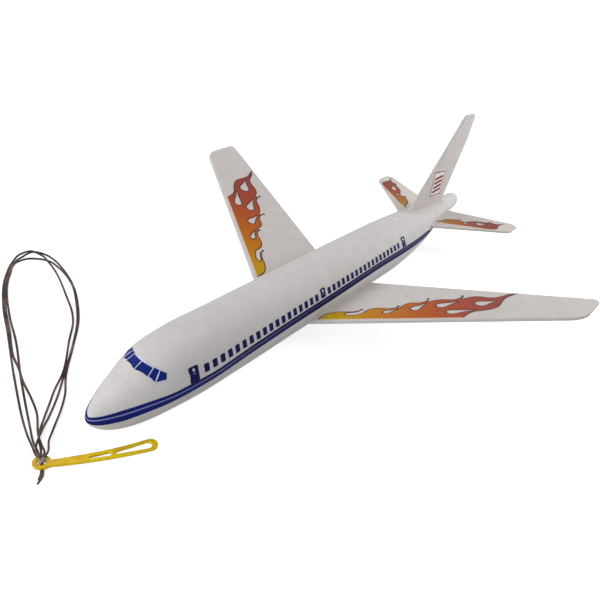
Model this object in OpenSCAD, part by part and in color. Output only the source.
// Hand-launched foam airliner glider with an elastic catapult.
// Origin: on the flat under the belly, below the balance point.
// +X is the nose, +Y is port, +Z is up.  Millimetres.

/* [Body] */
// Diameter of the round foam body amidships
body_d = 40; // [39:0.5:41]
// Sides of the body's cross-section
body_sides = 48; // [32:8:64]
// Depth shaved off the belly so that the glider sits flat
belly_cut = 0.5; // [0.3:0.1:0.8]

/* [Wings] */
// Dihedral of each wing plate, degrees
wing_dihedral = 14.46; // [13:0.1:16]
// Thickness of the wing plates
wing_t = 2.6; // [2:0.1:3]
// Span of one wing plate along its own plane, centre line to tip
wing_half_span = 161.9; // [140:0.5:175]

/* [Tail] */
// Dihedral of each tailplane, degrees
tail_dihedral = 1.2; // [0:0.1:2]
// Thickness of the tailplane plates
tail_t = 2.2; // [1.6:0.1:2.4]
// Span of one tailplane half, centre line to tip
tail_half_span = 67.6; // [55:0.5:75]
// Height of the top of the fin above the floor
fin_top = 110.5; // [104:0.5:114]
// Thickness of the fin
fin_t = 2.5; // [2:0.1:2.8]

/* [Film decals] */
// Thickness of the film that stands proud of the foam
film_out = 0.15; // [0.1:0.05:0.3]
// Windows in each of the two rows on a side
window_count = 18; // [6:1:18]
// Distance from window to window
window_pitch = 5.72; // [5:0.01:5.8]

/* [Launcher] */
// Length of the finger handle from the eye's centre to its round end
handle_len = 50; // [46:0.5:54]
// Diameter of the rubber thread
thread_d = 1; // [0.8:0.1:1.2]

/* [Hidden] */

foam = "whitesmoke";
film_blue = "midnightblue";
film_flame = "orangered";
film_red = "firebrick";
steel = "slategray";
pale_plastic = "linen";
yellow_plastic = "gold";
rubber = "sienna";

axis_z = body_d / 2 - belly_cut;
film_in = 0.05;
slot_gap = 0.06;

// Body stations, nose to tail: place along X, radius, height of the centre above the axis
body_stations = [
    [199.3, 0, -4.8], [192, 7.9, -5.3], [180, 13.1, -4], [164, 17.7, -0.6], [144, 19.7, 0.2],
    [114, 20, 0], [54, 20, 0], [-26, 20, 0], [-76, 19.6, -0.1], [-116, 16.9, 1.6],
    [-156, 11.5, 4.1], [-192, 7.7, 6.2], [-212, 5.4, 8.3], [-217.4, 0, 8.3]
];
nose_x = body_stations[0][0];
tail_x = body_stations[len(body_stations) - 1][0];
nose_taper = 60;
tail_taper = 117;
end_rings = 9;

// Rings crowd together towards both round ends
ring_x = concat(
    [for (i = [1 : end_rings]) nose_x - nose_taper * pow(i / end_rings, 2)],
    [114, 84, 54, 14, -26, -52, -76],
    [for (i = [end_rings : -1 : 1]) tail_x + tail_taper * pow(i / end_rings, 2)]
);

// ---------- curves through hand-set points ----------

// Smooth value at x through rows [x, v, ...]: cubic Hermite with three-point slopes
function chord_slope(t, i, k) = (t[i + 1][k] - t[i][k]) / (t[i + 1][0] - t[i][0]);
function point_slope(t, i, k) =
    i == 0 ? 1.5 * chord_slope(t, 0, k) - 0.5 * inner_slope(t, 1, k)
    : i == len(t) - 1 ? 1.5 * chord_slope(t, i - 1, k) - 0.5 * inner_slope(t, i - 1, k)
    : inner_slope(t, i, k);
function inner_slope(t, i, k) =
    let (h0 = t[i][0] - t[i - 1][0], h1 = t[i + 1][0] - t[i][0])
    (chord_slope(t, i - 1, k) * h1 + chord_slope(t, i, k) * h0) / (h0 + h1);
function span_of(t, x, i = 0) =
    i >= len(t) - 2 || (t[i + 1][0] - x) * (t[1][0] - t[0][0]) >= 0 ? i : span_of(t, x, i + 1);
function smooth(t, x, k) =
    let (i = span_of(t, x), h = t[i + 1][0] - t[i][0], u = (x - t[i][0]) / h)
    t[i][k] * (2 * u * u * u - 3 * u * u + 1)
    + point_slope(t, i, k) * h * (u * u * u - 2 * u * u + u)
    + t[i + 1][k] * (3 * u * u - 2 * u * u * u)
    + point_slope(t, i + 1, k) * h * (u * u * u - u * u);

// ---------- the body's surface ----------

// The squared radius is what varies smoothly, so that both ends come out round
body_table = [for (s = body_stations) [s[0], pow(s[1] * body_d / 40, 2), s[2]]];
function body_r(x) = sqrt(max(0, smooth(body_table, x, 1)));
function body_z(x) = axis_z + smooth(body_table, x, 2);
function body_y(x, z) = sqrt(max(0, pow(body_r(x), 2) - pow(z - body_z(x), 2)));

// Outward direction at a point of the surface
step = 0.25;
function body_normal(x, y, z) =
    let (
        d_r2 = (pow(body_r(x + step), 2) - pow(body_r(x - step), 2)) / (2 * step),
        d_z = (body_z(x + step) - body_z(x - step)) / (2 * step),
        n = [-(d_r2 / 2 + (z - body_z(x)) * d_z), y, z - body_z(x)]
    ) n / norm(n);
function lifted(p, lift) = p + lift * body_normal(p[0], p[1], p[2]);

// Angle from the bottom of the section of side j; the first side off the bottom
// is set where the belly flat ends, well short of the second one
least_flat = 4;
most_flat = 1.85;
function side_angle(x, j) =
    let (
        first = 360 / body_sides,
        flat = body_r(x) > body_z(x) ? max(least_flat, acos(body_z(x) / body_r(x))) : first,
        edge = min(flat, most_flat * first)
    )
    j == 1 ? edge : j == body_sides - 1 ? 360 - edge : j * first;
function ring(x) = [
    for (j = [0 : body_sides - 1])
        let (a = side_angle(x, j))
        [x, body_r(x) * sin(a), max(0, body_z(x) - body_r(x) * cos(a))]
];

module body_loft() {
    rings = len(ring_x);
    n = body_sides;
    points = concat(
        [[nose_x, 0, body_z(nose_x)]],
        [for (x = ring_x) each ring(x)],
        [[tail_x, 0, body_z(tail_x)]]
    );
    last = len(points) - 1;
    faces = concat(
        [for (j = [0 : n - 1]) [0, 1 + (j + 1) % n, 1 + j]],
        [for (i = [0 : rings - 2], j = [0 : n - 1])
            let (a = 1 + i * n + j, b = 1 + i * n + (j + 1) % n)
            each [[a, b, b + n], [a, b + n, a + n]]],
        [for (j = [0 : n - 1]) [last - n + j, last - n + (j + 1) % n, last]]
    );
    polyhedron(points = points, faces = faces, convexity = 6);
}

// ---------- flat plates with round edges ----------

// Outline with round corners, drawn in from the true edge by "inset".
// Rows of "corners" are [x, y, radius, steps], counter-clockwise.
function unit(v) = v / norm(v);
function left(v) = [-v[1], v[0]];
function flat_outline(corners, inset) = [
    for (i = [0 : len(corners) - 1])
        let (
            c = corners[i],
            before = corners[(i + len(corners) - 1) % len(corners)],
            after = corners[(i + 1) % len(corners)],
            d0 = unit([c[0] - before[0], c[1] - before[1]]),
            d1 = unit([after[0] - c[0], after[1] - c[1]]),
            half_turn = atan2(d0[0] * d1[1] - d0[1] * d1[0], d0 * d1) / 2,
            bisector = unit(left(d0) + left(d1)),
            centre = [c[0], c[1]] + bisector * c[2] / cos(half_turn),
            r = max(0.05, c[2] - inset),
            shift = c[2] - inset < 0.05 ? bisector * (inset + 0.05 - c[2]) / cos(half_turn) : [0, 0],
            from = atan2(-left(d0)[1], -left(d0)[0])
        )
        for (k = [0 : c[3]])
            let (a = from + 2 * half_turn * k / c[3])
            centre + shift + r * [cos(a), sin(a)]
];

// Inset and height of each layer of a plate whose edges are rounded to radius "edge"
function edge_layers(thickness, edge) = [
    for (a = [-90, -45, 0, 45, 90])
        [edge * (1 - cos(a)), edge * sin(a) - thickness / 2 + sign(a) * (thickness / 2 - edge)]
];

// Solid through loops of points stacked from the bottom up
module stack(loops) {
    n = len(loops[0]);
    top = (len(loops) - 1) * n;
    faces = concat(
        [[for (j = [0 : n - 1]) j]],
        [for (i = [0 : len(loops) - 2], j = [0 : n - 1])
            let (a = i * n + j, b = i * n + (j + 1) % n)
            each [[a, a + n, b + n], [a, b + n, b]]],
        [[for (j = [n - 1 : -1 : 0]) top + j]]
    );
    polyhedron(points = [for (l = loops) each l], faces = faces, convexity = 4);
}

// Plate with its top face on z = 0
module plate(corners, thickness, edge) {
    stack([for (l = edge_layers(thickness, edge))
        [for (p = flat_outline(corners, l[0])) [p[0], p[1], l[1]]]]);
}

// ---------- wings ----------

wing_root_z = 9.07;
wing_le_x = 64.8;
wing_te_x = -17.07;
wing_le_slope = 0.6513;
wing_te_slope = 0.3465;
wing_inner = 1.6;
// Where the leading edge comes out of the body's side, along the plate
wing_le_exit = 19.95;
wing_tip_lean = 2.25;
wing_edge = 1.15;
wing_slot_depth = 26;

wing_slot_front = wing_le_x - wing_le_slope * wing_le_exit;
wing_slot_back = wing_te_x - wing_te_slope * wing_le_exit;
wing_tip_front = wing_half_span - wing_tip_lean;
wing_corners = [
    [wing_slot_front, wing_inner, 1.2, 2],
    [wing_slot_front, wing_le_exit, 0.4, 1],
    [wing_le_x - wing_le_slope * wing_tip_front, wing_tip_front, 19, 8],
    [wing_te_x - wing_te_slope * wing_half_span, wing_half_span, 3.5, 6],
    [wing_te_x - wing_te_slope * wing_inner, wing_inner, 1.2, 2]
];

// Puts its children, drawn in X and span, on the top face of the port wing
module on_wing() {
    translate([0, 0, wing_root_z]) rotate([wing_dihedral, 0, 0]) children();
}
module port_wing() {
    on_wing() plate(wing_corners, wing_t, wing_edge);
}

// ---------- tailplanes and fin ----------

tail_z = 26.9;
tail_le_x = -116.4;
tail_te_x = -176.7;
tail_le_slope = 1.035;
tail_te_slope = 0.4837;
tail_inner = 2.1;
tail_le_exit = 15.1;
tail_tip_lean = 1;
tail_edge = 0.95;
tail_slot_depth = 20;
tail_slot_front = tail_le_x - tail_le_slope * tail_le_exit;
tail_slot_back = -182.2;
tail_tip_front = tail_half_span - tail_tip_lean;
tail_corners = [
    [tail_slot_front, tail_inner, 1, 2],
    [tail_slot_front, tail_le_exit, 0.4, 1],
    [tail_le_x - tail_le_slope * tail_tip_front, tail_tip_front, 8, 8],
    [tail_te_x - tail_te_slope * tail_half_span, tail_half_span, 5.5, 6],
    [tail_te_x - tail_te_slope * tail_inner, tail_inner, 1, 2]
];
module on_tail() {
    translate([0, 0, tail_z]) rotate([tail_dihedral, 0, 0]) children();
}
module port_tailplane() {
    on_tail() plate(tail_corners, tail_t, tail_edge);
}

// The fin is drawn in X and height
fin_foot = 28;
fin_le_x = -111.4;
fin_te_x = -180.6;
fin_datum = 39.5;
fin_le_slope = 0.923;
fin_te_slope = 0.33;
// Height above which the trailing edge stands almost upright
fin_te_bend = 90;
fin_te_top_slope = 0.05;
fin_edge = 1.1;
// Height at which the leading edge meets the spine
fin_root_z = 38.4;
fin_slot_front = fin_le_x - fin_le_slope * (fin_root_z - fin_datum);
fin_slot_back = -180;
fin_slot_height = 20;
fin_bend_x = fin_te_x - fin_te_slope * (fin_te_bend - fin_datum);
fin_corners = [
    [fin_slot_front, fin_foot, 1, 2],
    [fin_slot_front, fin_root_z, 0.4, 1],
    [fin_le_x - fin_le_slope * (fin_top - fin_datum), fin_top, 6, 6],
    [fin_bend_x - fin_te_top_slope * (fin_top - fin_te_bend), fin_top - 1, 4, 6],
    [fin_bend_x, fin_te_bend, 40, 4],
    [fin_te_x - fin_te_slope * (fin_foot - fin_datum), fin_foot, 1, 2]
];
// Puts its children, drawn in X and height with their face on z = 0, on the port side of the fin
module on_fin() {
    translate([0, fin_t / 2, 0]) rotate([90, 0, 0]) mirror([0, 0, 1]) children();
}

// ---------- fuselage, weight and hook ----------

weight_x = 150;
weight_d = 9.9;
weight_len = 14;
weight_recess = 1;
weight_bore = 10;
weight_floor = body_z(weight_x) - body_r(weight_x);

// The hook stands in a pocket moulded into the belly
hook_t = 1.6;
hook_front = 182;
hook_back = 179;
hook_lip = 173.5;
hook_z = 0.6;
hook_tab_top = 12;
hook_pocket_w = 7;
hook_pocket_back = 171.5;
hook_pocket_top = 6.5;
// Everything cut from below starts under the belly
below = -1;

// Moulding vent on the spine
vent_x = -87;
vent_d = 3;
vent_rise = 0.3;

module wing_slot() {
    on_wing()
        translate([wing_slot_back - slot_gap, wing_inner - slot_gap, -wing_t - slot_gap])
            cube([wing_slot_front - wing_slot_back + 2 * slot_gap, wing_slot_depth, wing_t + 2 * slot_gap]);
}
module tail_slot() {
    on_tail()
        translate([tail_slot_back - slot_gap, tail_inner - slot_gap, -tail_t - slot_gap])
            cube([tail_slot_front - tail_slot_back + 2 * slot_gap, tail_slot_depth, tail_t + 2 * slot_gap]);
}
module fin_slot() {
    translate([fin_slot_back - slot_gap, -fin_t / 2 - slot_gap, fin_foot - slot_gap])
        cube([fin_slot_front - fin_slot_back + 2 * slot_gap, fin_t + 2 * slot_gap, fin_slot_height]);
}

module weight_hole() {
    translate([weight_x, 0, below])
        cylinder(d = weight_bore, h = weight_floor + weight_recess + weight_len - below, $fn = 48);
}
module hook_slot() {
    translate([hook_back - slot_gap, -hook_t / 2 - slot_gap, below])
        cube([hook_front - hook_back + 2 * slot_gap, hook_t + 2 * slot_gap, hook_tab_top + slot_gap - below]);
}
module hook_pocket() {
    translate([hook_pocket_back, -hook_pocket_w / 2, below])
        cube([hook_back + slot_gap - hook_pocket_back, hook_pocket_w, hook_pocket_top - below]);
}

module fuselage() {
    color(foam) {
        difference() {
            body_loft();
            wing_slot();
            mirror([0, 1, 0]) wing_slot();
            tail_slot();
            mirror([0, 1, 0]) tail_slot();
            fin_slot();
            weight_hole();
            hook_slot();
            hook_pocket();
        }
        translate([vent_x, 0, body_z(vent_x)])
            cylinder(d = vent_d, h = body_r(vent_x) + vent_rise, $fn = 32);
    }
}

module nose_weight() {
    color(steel)
    translate([weight_x, 0, weight_floor + weight_recess])
        cylinder(d = weight_d, h = weight_len, $fn = 48);
}

module launch_hook() {
    color(pale_plastic)
    rotate([90, 0, 0])
    translate([0, 0, -hook_t / 2])
    linear_extrude(hook_t)
        polygon([
            [hook_back, hook_tab_top], [hook_back, hook_z + 1.2], [hook_lip + 0.8, hook_z + 1.2],
            [hook_lip, hook_z + 1.6], [hook_lip, hook_z], [hook_front - 1, hook_z],
            [hook_front, hook_z + 1], [hook_front, hook_tab_top]
        ]);
}

module wing_port() { color(foam) port_wing(); }
module wing_starboard() { color(foam) mirror([0, 1, 0]) port_wing(); }
module tailplane_port() { color(foam) port_tailplane(); }
module tailplane_starboard() { color(foam) mirror([0, 1, 0]) port_tailplane(); }
module fin() {
    color(foam) on_fin() plate(fin_corners, fin_t, fin_edge);
}

// ---------- film decals on the body ----------

// Solid film over a grid of surface points: rows x columns, from film_in below the
// foam to film_out above it
module film_sheet(grid) {
    rows = len(grid);
    cols = len(grid[0]);
    n = rows * cols;
    flat = [for (r = grid) each r];
    rim = concat(
        [for (j = [0 : cols - 2]) j],
        [for (i = [0 : rows - 2]) i * cols + cols - 1],
        [for (j = [cols - 1 : -1 : 1]) (rows - 1) * cols + j],
        [for (i = [rows - 1 : -1 : 1]) i * cols]
    );
    faces = concat(
        [for (i = [0 : rows - 2], j = [0 : cols - 2])
            let (a = i * cols + j, b = a + cols)
            each [
                [a, b, a + 1], [a + 1, b, b + 1],
                [n + a, n + a + 1, n + b], [n + a + 1, n + b + 1, n + b]
            ]],
        [for (k = [0 : len(rim) - 1])
            let (a = rim[k], b = rim[(k + 1) % len(rim)])
            each [[a, b, n + a], [b, n + b, n + a]]]
    );
    polyhedron(
        points = concat([for (p = flat) lifted(p, film_out)], [for (p = flat) lifted(p, -film_in)]),
        faces = faces, convexity = 4);
}

// Height of the thin gap between the two stripes, along the side of the body
gap_line = [
    [190, 17.3], [183, 18.2], [171, 19.4], [160, 20], [135, 20.5], [100, 22.2], [72, 22.9],
    [30, 23.5], [-12, 24.5], [-45, 24.9], [-75, 24.4], [-110, 23.5], [-140, 23.2]
];
// Edges of the upper and lower stripe, measured from the gap line, [x, low, high]
upper_stripe = [
    [190, 0.4, 1.9], [165, 0.45, 2], [135, 0.45, 1.95], [75, 0.4, 1.75], [-140, 0.4, 1.6]
];
lower_stripe = [
    [190, -3.2, -0.4], [165, -3, -0.45], [135, -2.6, -0.45], [75, -2.75, -0.4], [-140, -2.8, -0.4]
];
// The same three at the tip of the nose
tip_gap_z = 15.7;
tip_gap_rise = 0.2;
tip_upper = [0.3, 1.2];
tip_lower = [-2, -0.35];

tip_y = [0.04, 1.5, 3, 4.5, 6, 7.5];
tip_to_side_y = 9;
stripe_x = [
    188, 184, 179, 173, 166, 158, 149, 139, 128, 115, 100, 80,
    60, 40, 20, 0, -20, -40, -60, -75, -90, -105, -118
];

// Place along X where the nose has half-width y at height z
function nose_at(y, z, low = 150, high = 200, n = 26) =
    let (mid = (low + high) / 2, room = pow(body_r(mid), 2) - pow(z - body_z(mid), 2) - y * y)
    n == 0 ? mid : room > 0 ? nose_at(y, z, mid, high, n - 1) : nose_at(y, z, low, mid, n - 1);
function side_point(x, z) = [x, body_y(x, z), z];
function tip_row(y, tip, side) =
    let (u = y / tip_to_side_y, gap = tip_gap_z + tip_gap_rise * y)
    [for (k = [0, 1])
        let (z = gap + tip[k] * (1 - u) + side[0][k + 1] * u)
        [nose_at(y, z), y, z]];
function side_row(x, side) =
    [for (k = [0, 1]) side_point(x, smooth(gap_line, x, 1) + smooth(side, x, k + 1))];
function stripe_grid(tip, side, end_x) = concat(
    [for (y = tip_y) tip_row(y, tip, side)],
    [for (x = concat(stripe_x, [end_x])) side_row(x, side)]
);
upper_end_x = -129;
lower_end_x = -139;
module port_cheatline() {
    film_sheet(stripe_grid(tip_upper, upper_stripe, upper_end_x));
    film_sheet(stripe_grid(tip_lower, lower_stripe, lower_end_x));
}

// Film patch with round corners, centred at (x, z) on the port side
patch_near = 5;
patch_far = 30;
module film_patch(x, z, w, h, r) {
    band = w + 2;
    x0 = x - band / 2;
    x1 = x + band / 2;
    intersection() {
        translate([x0, 0, body_z(x)]) rotate([0, 90, 0]) difference() {
            cylinder(r1 = body_r(x0) + film_out, r2 = body_r(x1) + film_out, h = band, $fn = 96);
            cylinder(r1 = body_r(x0) - film_in, r2 = body_r(x1) - film_in, h = band, $fn = 96);
        }
        translate([x, patch_far, z]) rotate([90, 0, 0])
            linear_extrude(patch_far - patch_near) round_rect(w, h, r);
    }
}
corner_steps = 4;
module round_rect(w, h, r) {
    polygon([
        for (c = [[1, 1, 0], [-1, 1, 90], [-1, -1, 180], [1, -1, 270]], k = [0 : corner_steps])
            let (a = c[2] + 90 * k / corner_steps)
            [c[0] * (w / 2 - r) + r * cos(a), c[1] * (h / 2 - r) + r * sin(a)]
    ]);
}

window_rows = [143.85, 32.5];
window_w = 3.2;
window_h = 4.1;
window_shrink = 0.0024;
window_z = 26.6;
window_rise = 0.0135;
window_corner = 0.5;
module port_windows() {
    for (first = window_rows, i = [0 : window_count - 1]) {
        x = first - i * window_pitch;
        aft = window_rows[0] - x;
        film_patch(x, window_z + window_rise * aft, window_w, window_h - window_shrink * aft, window_corner);
    }
}

// Doors: middle along X, middle height, width, height
doors = [[151.9, 26.2, 5.9, 7.7], [39.4, 28.65, 5, 5.4], [-74.2, 29.7, 6.2, 6.6]];
door_corner = 0.9;
door_light_d = 1.6;
door_light_drop = 1.6;
module port_doors() {
    for (d = doors)
        difference() {
            film_patch(d[0], d[1], d[2], d[3], door_corner);
            translate([d[0], patch_near, d[1] + d[3] / 2 - door_light_drop])
                rotate([-90, 0, 0]) cylinder(d = door_light_d, h = patch_far, $fn = 24);
        }
}

// Windscreen panes round the nose: corners as [x, degrees from the top towards port]
panes = [
    [[174.4, 0.9], [170.1, 0.9], [168.9, 21.6], [172.6, 26.6]],
    [[172.2, 27.9], [168.4, 23], [167.2, 31.2], [171.3, 41.6]],
    [[170.8, 43.4], [167, 32.6], [165.1, 41.4], [166.4, 49.3]]
];
screen_turn = 4;
pane_cells = 4;
function round_point(x, a) = [x, body_r(x) * sin(a), body_z(x) + body_r(x) * cos(a)];
module pane(c, side) {
    film_sheet([
        for (i = [0 : pane_cells]) [
            for (j = [0 : pane_cells])
                let (
                    u = i / pane_cells, v = side > 0 ? j / pane_cells : 1 - j / pane_cells,
                    front = c[0] * (1 - v) + c[3] * v,
                    back = c[1] * (1 - v) + c[2] * v,
                    p = back * (1 - u) + front * u
                ) round_point(p[0], screen_turn + side * p[1])
        ]
    ]);
}

module cheatline_port() { color(film_blue) port_cheatline(); }
module cheatline_starboard() { color(film_blue) mirror([0, 1, 0]) port_cheatline(); }
module windows_port() { color(film_blue) port_windows(); }
module windows_starboard() { color(film_blue) mirror([0, 1, 0]) port_windows(); }
module doors_port() { color(film_blue) port_doors(); }
module doors_starboard() { color(film_blue) mirror([0, 1, 0]) port_doors(); }
module windscreen() {
    color(film_blue)
    for (p = panes, side = [1, -1]) pane(p, side);
}

// ---------- flames and emblem ----------

// Smooth closed curve through rows [along, aft, 1 at a sharp tip]
curve_steps = 4;
function tangent(t, i) =
    let (
        n = len(t), q = t[(i + n - 1) % n], p = t[i], s = t[(i + 1) % n],
        d0 = [p[0] - q[0], p[1] - q[1]], d1 = [s[0] - p[0], s[1] - p[1]],
        h0 = norm(d0), h1 = norm(d1)
    ) (d0 * h1 / h0 + d1 * h0 / h1) / (h0 + h1);
function smooth_outline(t) = [
    for (i = [0 : len(t) - 1])
        let (
            n = len(t), p = t[i], q = t[(i + 1) % n],
            d = [q[0] - p[0], q[1] - p[1]], h = norm(d),
            m0 = p[2] == 1 ? d / h : tangent(t, i),
            m1 = q[2] == 1 ? d / h : tangent(t, (i + 1) % n),
            steps = p[2] == 1 && q[2] == 1 ? 1 : curve_steps
        )
        for (k = [0 : steps - 1])
            let (u = k / steps, a = [p[0], p[1]], b = [q[0], q[1]])
            a * (2 * u * u * u - 3 * u * u + 1) + m0 * h * (u * u * u - 2 * u * u + u)
            + b * (3 * u * u - 2 * u * u * u) + m1 * h * (u * u * u - u * u)
];

// Drop-shaped hole: round at one end, drawn out to a tip with hollow sides,
// [x, y, radius, tip x, tip y]
drop_steps = 10;
drop_waist = 0.3;
module drop(d) {
    c = [d[0], d[1]];
    tip = [d[3], d[4]];
    reach = norm(tip - c);
    axis = (tip - c) / reach;
    turn = atan2(axis[1], axis[0]);
    touch = acos(d[2] / reach);
    flank = c + 0.6 * reach * axis;
    waist = drop_waist * d[2] * left(axis);
    polygon(concat([tip, flank + waist], [
        for (k = [0 : drop_steps])
            let (a = turn + touch + (360 - 2 * touch) * k / drop_steps)
            c + d[2] * [cos(a), sin(a)]
    ], [flank - waist]));
}

wing_flame = [
    [1.2, 1.2, 1], [3.4, 5.6, 0], [6.6, 9, 0], [11, 11.2, 0], [16, 12, 0], [21, 11.8, 0], [25, 12.2, 0],
    [29.3, 14.4, 1],
    [27, 11.6, 0], [23.5, 10.4, 0], [20.2, 9.9, 0], [18.2, 8.7, 0], [19.6, 7.2, 0], [23.5, 7, 0],
    [27, 8, 0], [30, 10.6, 0], [32, 13.4, 0], [35, 15.5, 0], [38.5, 16.6, 0], [42.5, 16.4, 0],
    [46, 15.8, 0], [49.4, 16.4, 0],
    [53, 18.6, 1],
    [52.6, 15.8, 0], [55, 19, 0], [58, 22, 0], [62, 23.6, 0], [66.5, 23.5, 0], [70, 24.8, 0],
    [73.8, 29.2, 1],
    [73.2, 25.4, 0], [76.5, 26.6, 0], [80.5, 27.8, 0], [85, 28, 0], [90, 27.8, 0], [94, 29.8, 0],
    [97, 32.6, 1],
    [96.4, 28.8, 0], [99.5, 30.4, 0], [103.5, 31.7, 0], [108, 31.6, 0], [112.5, 30.2, 0], [117.5, 29.8, 0],
    [122, 31.6, 0], [127, 34.4, 0],
    [134.6, 36, 1],
    [129.5, 32.8, 0], [125, 29.6, 0], [121.4, 25.4, 0], [118.6, 20.6, 0], [115.4, 16, 0], [111, 13, 0],
    [107.4, 11.6, 0],
    [103.6, 10.6, 1],
    [98.7, 9.4, 0], [95, 7, 0], [92, 3.8, 0], [90, 1.2, 1]
];
wing_drops = [
    [44, 10.6, 1.8, 51.6, 14], [62.6, 14.8, 2.5, 71, 22.4], [79.8, 18.8, 2.8, 92.2, 24.6],
    [105.4, 20.9, 3.3, 117, 24.8], [84.2, 9.4, 2.6, 100.2, 12.4]
];
tail_flame = [
    [-4.6, -0.9, 1], [-0.9, 0.5, 0], [2.5, 3.6, 0], [7, 7, 0], [12.5, 8.8, 0], [19, 10.2, 1],
    [20.5, 8, 0], [24.5, 8, 0], [28, 10.4, 0], [32, 12.4, 0], [38.5, 13.8, 0], [44.5, 14.2, 0], [48, 16, 1],
    [51.5, 14.4, 0], [63.5, 18.6, 1],
    [57.5, 14.2, 0], [54, 9.5, 0], [51.5, 4, 0], [48.5, 0.6, 0], [43.5, -1, 0],
    [30, -1.8, 0], [15, -2.6, 0], [2, -3.2, 0]
];
tail_drops = [[22.4, 4.6, 1.1, 27, 7], [35.4, 7.4, 2.1, 44, 10.6]];

// Film flame lying on a plate whose top face is z = 0
module flame(outline, drops) {
    translate([0, 0, -film_in])
    linear_extrude(film_in + film_out)
    difference() {
        polygon(smooth_outline(outline));
        for (d = drops) drop(d);
    }
}
// The wing flame runs along the leading edge; the starboard print sits further out and further aft
wing_flame_s = 23.03;
port_print = [0, 0, 1.08];
starboard_print = [11.6, 1, 0.925];
// "print" is the shift along the edge, the shift aft and the width
module wing_film(print) {
    turn = atan2(1, -wing_le_slope);
    on_wing() translate([wing_le_x - wing_le_slope * wing_flame_s, wing_flame_s, 0]) rotate([0, 0, turn])
        translate([print[0], print[1], 0])
            flame([for (p = wing_flame) [p[0], p[1] * print[2], p[2]]],
                [for (d = wing_drops) [d[0], d[1] * print[2], d[2], d[3], d[4] * print[2]]]);
}
// The tailplane flame starts aft of the leading edge, closer to it outboard
tail_flame_x = -148.5;
tail_flame_y = 15.84;
tail_flame_turn = 124.4;
starboard_tail_shift = 5;
module tail_film(shift) {
    on_tail() translate([tail_flame_x, tail_flame_y, 0]) rotate([0, 0, tail_flame_turn])
        translate([shift, 0, 0]) flame(tail_flame, tail_drops);
}

// Generic emblem: a framed panel with slanting bars, drawn in X and height
panel = [[-141, 67], [-145.9, 44.4], [-168.5, 43.2], [-164.5, 64.8]];
// Frame, bars and their slant, as parts of the panel's width and height
panel_frame = 0.036;
bar_rows = [0.12, 0.3, 0.48, 0.66];
bar_ends = [0.14, 0.86];
bar_h = 0.1;
bar_slant = 0.08;
function panel_point(u, v) =
    (panel[1] * (1 - u) + panel[2] * u) * (1 - v) + (panel[0] * (1 - u) + panel[3] * u) * v;
module panel_shape(margin) {
    polygon([for (c = [[0, 0], [1, 0], [1, 1], [0, 1]])
        panel_point(c[0] + margin * (1 - 2 * c[0]), c[1] + margin * (1 - 2 * c[1]))]);
}
module port_emblem() {
    on_fin()
    translate([0, 0, -film_in])
    linear_extrude(film_in + film_out) {
        difference() {
            panel_shape(0);
            panel_shape(panel_frame);
        }
        for (v = bar_rows)
            polygon([
                panel_point(bar_ends[0], v), panel_point(bar_ends[1], v + bar_slant),
                panel_point(bar_ends[1], v + bar_slant + bar_h), panel_point(bar_ends[0], v + bar_h)
            ]);
    }
}

module flame_wing_port() { color(film_flame) wing_film(port_print); }
module flame_wing_starboard() { color(film_flame) mirror([0, 1, 0]) wing_film(starboard_print); }
module flame_tail_port() { color(film_flame) tail_film(0); }
module flame_tail_starboard() { color(film_flame) mirror([0, 1, 0]) tail_film(starboard_tail_shift); }
module emblem_port() { color(film_red) port_emblem(); }
module emblem_starboard() { color(film_red) mirror([0, 1, 0]) port_emblem(); }

// ---------- launcher ----------

eye_at = [220, -3.7];
eye_lift = 1.2;
eye_d = 7.8;
eye_hole = 3.6;
handle_t = 1.5;
handle_turn = 149.6;
handle_edge = 0.45;
arm_start = 3.4;
arm_w0 = 2.4;
arm_spread = 0.1;
arm_bow = 2.1;
bow_mid = 16;
arm_steps = 12;
short_slot = [19.2, 28.8, 1.1, 2.2];
long_slot = [30.6, 47.2, 1.8, 4.2];

arm_end_r = (arm_w0 + arm_spread * handle_len) / 2 - 0.2;
arm_end = handle_len - arm_end_r;
// Bowed centre line and half width of the arm at distance x from the eye
function arm_y(x) = -arm_bow + arm_bow * pow((x - bow_mid) / (arm_end - bow_mid), 2);
function arm_half(x) = (arm_w0 + arm_spread * x) / 2;
function arm_outline(inset) = concat(
    [for (i = [0 : arm_steps - 1])
        let (x = arm_start + (arm_end - arm_start) * i / arm_steps)
        [x, arm_y(x) - arm_half(x) + inset]],
    [for (a = [-90 : 15 : 90])
        [arm_end + (arm_end_r - inset) * cos(a), arm_y(arm_end) + (arm_end_r - inset) * sin(a)]],
    [for (i = [arm_steps - 1 : -1 : 0])
        let (x = arm_start + (arm_end - arm_start) * i / arm_steps)
        [x, arm_y(x) + arm_half(x) - inset]]
);
// Edges are eased in steps, as [inset, height above the face]
arm_layers = [[handle_edge, 0], [0.3 * handle_edge, 0.3 * handle_edge], [0, handle_edge]];
module arm() {
    for (l = arm_layers)
        translate([0, 0, l[1]]) linear_extrude(handle_t - 2 * l[1]) polygon(arm_outline(l[0]));
}
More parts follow.
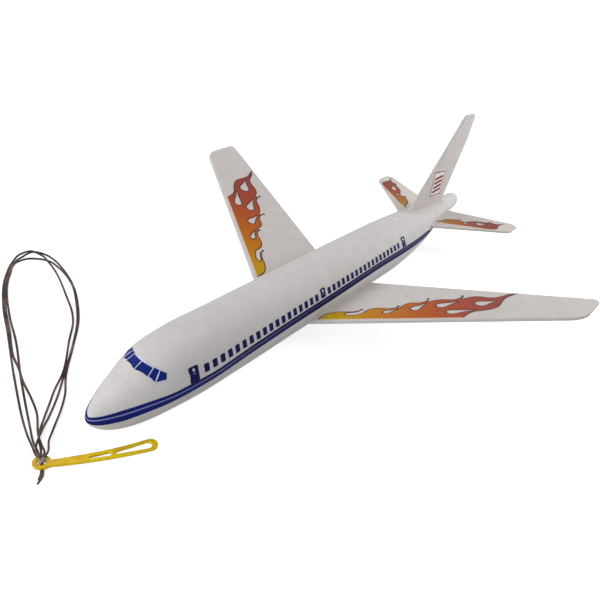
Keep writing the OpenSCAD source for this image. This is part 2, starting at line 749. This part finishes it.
// Tapered slot along the arm, [from, to, width at from, width at to]
module arm_slot(s) {
    r0 = s[2] / 2;
    r1 = s[3] / 2;
    translate([0, 0, -1])
    linear_extrude(handle_t + 2)
        polygon(concat(
            [for (a = [90 : 45 : 270]) [s[0] + r0 + r0 * cos(a), arm_y(s[0]) + r0 * sin(a)]],
            [let (x = (s[0] + s[1]) / 2) [x, arm_y(x) - (r0 + r1) / 2]],
            [for (a = [-90 : 22.5 : 90]) [s[1] - r1 + r1 * cos(a), arm_y(s[1] - r1) + r1 * sin(a)]],
            [let (x = (s[0] + s[1]) / 2) [x, arm_y(x) + (r0 + r1) / 2]]
        ));
}
module eye() {
    r0 = eye_hole / 2;
    r1 = eye_d / 2;
    c = handle_edge;
    rotate_extrude($fn = 64)
        polygon([
            [r0, c], [r0 + c, 0], [r1 - c, 0], [r1, c],
            [r1, handle_t - c], [r1 - c, handle_t], [r0 + c, handle_t], [r0, handle_t - c]
        ]);
}
module launcher_handle() {
    color(yellow_plastic)
    translate([eye_at[0], eye_at[1], eye_lift])
    rotate([0, 0, handle_turn])
    rotate([0, asin(eye_lift / handle_len), 0]) {
        difference() {
            arm();
            arm_slot(short_slot);
            arm_slot(long_slot);
        }
        eye();
    }
}

// Routes of the rubber thread, from the knot round each loop and back
loop_1 = [
    [220.1, -5.1, 3.6], [219.8, -7.6, 3.3], [217.4, -13.8, 1.7], [214, -23, 0.5], [197.5, -57.5, 0.5],
    [177.5, -95, 0.5], [165.5, -118, 0.5], [145, -147.5, 0.5], [134, -158.5, 0.5], [123, -165.5, 0.5],
    [116.5, -165.5, 0.5], [114, -156, 0.5], [116.5, -144, 0.5], [133, -104, 0.5], [140, -90, 0.5],
    [145, -82.5, 0.5], [158, -68.5, 0.5], [179.5, -46, 0.5], [187, -40.5, 0.5], [195, -33.5, 0.5],
    [204, -25.5, 0.9], [211, -18.5, 1.6], [217.8, -7, 3.3], [219.2, -5, 3.6]
];
loop_2 = [
    [219.8, -5.1, 3.6], [218.7, -7.4, 3.3], [215.5, -16, 1.7], [210.5, -26, 0.5], [194.5, -57, 0.5],
    [178.5, -86, 0.5], [168, -108, 0.5], [143.5, -146, 0.5], [131, -157.5, 0.5], [123.5, -157.5, 0.5],
    [118, -153, 0.8], [115.5, -145.5, 1.5], [115.5, -135, 0.9], [119, -121, 0.5], [134.5, -93, 0.5],
    [144, -80, 0.5], [157, -66, 0.5], [178.7, -45.2, 0.5], [189, -35.5, 0.5], [200, -26.5, 0.5],
    [208, -20.5, 1.3], [212.5, -16.5, 2], [216.3, -12.6, 3], [219.3, -7.7, 4.2], [219.6, -5.2, 3.9]
];
loop_3 = [
    [218.9, -4.5, 3.6], [216.8, -6.2, 3.3], [214, -12.1, 1.5], [211, -19, 0.5], [203, -32, 0.5],
    [199, -42, 0.5], [194.8, -55.5, 1.5], [191, -64, 0.9], [187, -75, 0.5], [176.5, -94.5, 0.5],
    [164.5, -117.3, 0.5], [144, -146.8, 0.5], [127.5, -160.5, 0.5], [116, -162, 1.5], [111.5, -155, 0.9],
    [111.5, -145.5, 0.5], [114.5, -132.5, 0.5], [122.5, -111.5, 0.5], [133, -93.8, 0.5], [141.5, -82, 0.5],
    [160, -62.5, 0.5], [178, -44.3, 0.5], [186.5, -33.5, 0.5], [191, -29, 0.5], [204, -18, 0.8],
    [210, -12.7, 1.6], [216.3, -5.3, 3.3], [218.6, -4.3, 3.6]
];
tail_1 = [[220.4, -3.3, 2], [220.9, -2.6, 0.6], [223.5, 0.6, 0.5], [225.8, 2.4, 0.5]];
tail_2 = [[219.7, -3.6, 2], [220.4, -2.3, 0.6], [223, 1.5, 0.5], [227.4, 4, 0.5]];
thread_sides = 8;
knot_r = 2;

// Tube swept along a route, each ring square to the mean of its two neighbours' directions
module thread(route) {
    n = thread_sides;
    last = len(route) - 1;
    rings = [
        for (i = [0 : last])
            let (
                t = unit(route[min(i + 1, last)] - route[max(i - 1, 0)]),
                side = unit(cross(t, [0, 0, 1])),
                up = cross(side, t)
            )
            [for (j = [0 : n - 1])
                let (a = (j + 0.5) * 360 / n)
                route[i] + thread_d / 2 * (cos(a) * side + sin(a) * up)]
    ];
    faces = concat(
        [[for (j = [n - 1 : -1 : 0]) j]],
        [for (i = [0 : last - 1], j = [0 : n - 1])
            let (a = i * n + j, b = i * n + (j + 1) % n)
            each [[a, b, b + n], [a, b + n, a + n]]],
        [[for (j = [0 : n - 1]) last * n + j]]
    );
    polyhedron(points = [for (r = rings) each r], faces = faces, convexity = 10);
}
module elastic_loop_1() { color(rubber) thread(loop_1); }
module elastic_loop_2() { color(rubber) thread(loop_2); }
module elastic_loop_3() { color(rubber) thread(loop_3); }
module elastic_tails() {
    color(rubber) {
        thread(tail_1);
        thread(tail_2);
    }
}
// The knot sits on the top edge of the eye's hole
knot_z = eye_lift + handle_t + sqrt(knot_r * knot_r - pow(eye_hole / 2, 2));
module elastic_knot() {
    color(rubber)
    translate([eye_at[0], eye_at[1], knot_z]) sphere(r = knot_r, $fn = 32);
}

fuselage();
nose_weight();
launch_hook();
wing_port();
wing_starboard();
tailplane_port();
tailplane_starboard();
fin();
flame_wing_port();
flame_wing_starboard();
flame_tail_port();
flame_tail_starboard();
cheatline_port();
cheatline_starboard();
windows_port();
windows_starboard();
doors_port();
doors_starboard();
windscreen();
emblem_port();
emblem_starboard();
launcher_handle();
elastic_loop_1();
elastic_loop_2();
elastic_loop_3();
elastic_knot();
elastic_tails();
